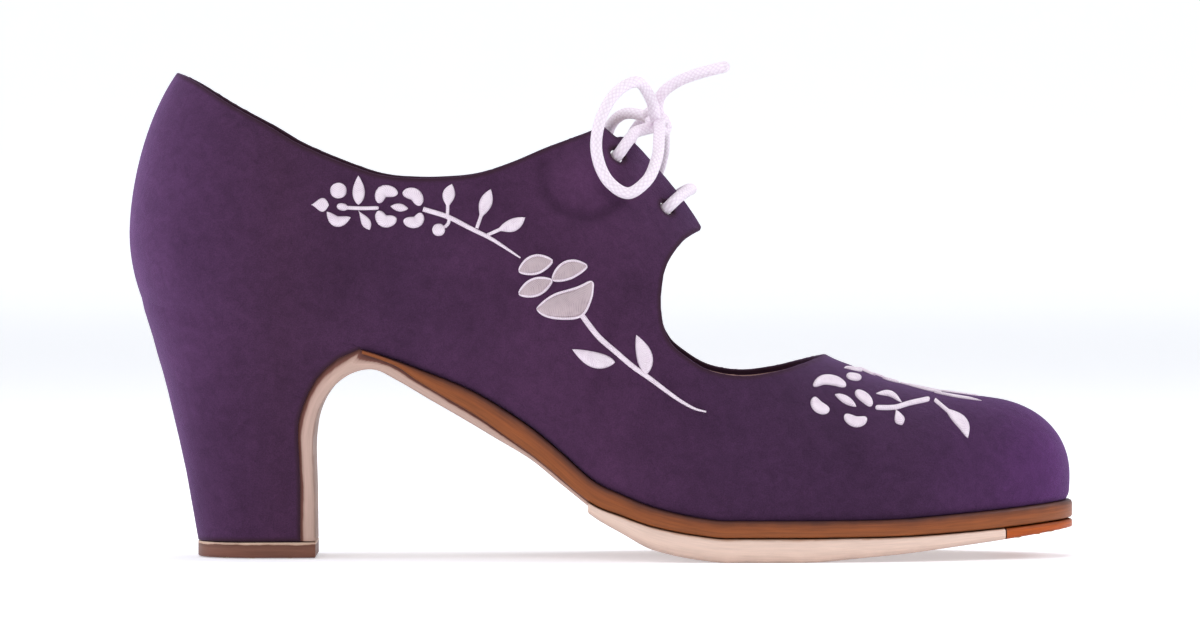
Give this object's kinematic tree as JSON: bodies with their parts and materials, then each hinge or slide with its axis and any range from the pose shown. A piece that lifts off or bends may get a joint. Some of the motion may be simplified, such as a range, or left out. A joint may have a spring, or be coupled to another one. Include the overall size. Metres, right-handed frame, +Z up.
{
  "type": "flamenco shoe",
  "caption": "Suede flamenco shoe with laced instep tabs, floral embroidery, a stacked leather sole and a covered curved heel.",
  "frame": {"origin": "middle of the heel's walking surface, on the floor", "axes": "+X from heel to toe, +Y to the inner side of the foot, +Z up from the floor"},
  "size_m": [0.2405, 0.0799, 0.1261],
  "materials": {
    "suede": "napped suede",
    "lining_leather": "matt",
    "tan_sole_leather": "burnished",
    "pale_sole_leather": "satin",
    "toe_leather": "burnished",
    "lift_leather": "satin",
    "lace_cotton": "matt"
  },
  "bodies": {
    "root": {"upper": "suede", "insole": "lining_leather", "outsole": "tan_sole_leather", "half_sole": "pale_sole_leather", "toe_piece": "toe_leather", "waist_leather": "pale_sole_leather", "heel": "suede", "top_lift": "lift_leather", "lace_bar_upper": "lace_cotton", "lace_bar_lower": "lace_cotton", "lace_knot": "lace_cotton", "lace_loop_near": "lace_cotton", "lace_loop_far": "lace_cotton", "lace_end_near": "lace_cotton", "lace_end_far": "lace_cotton"}
  },
  "joints": []
}
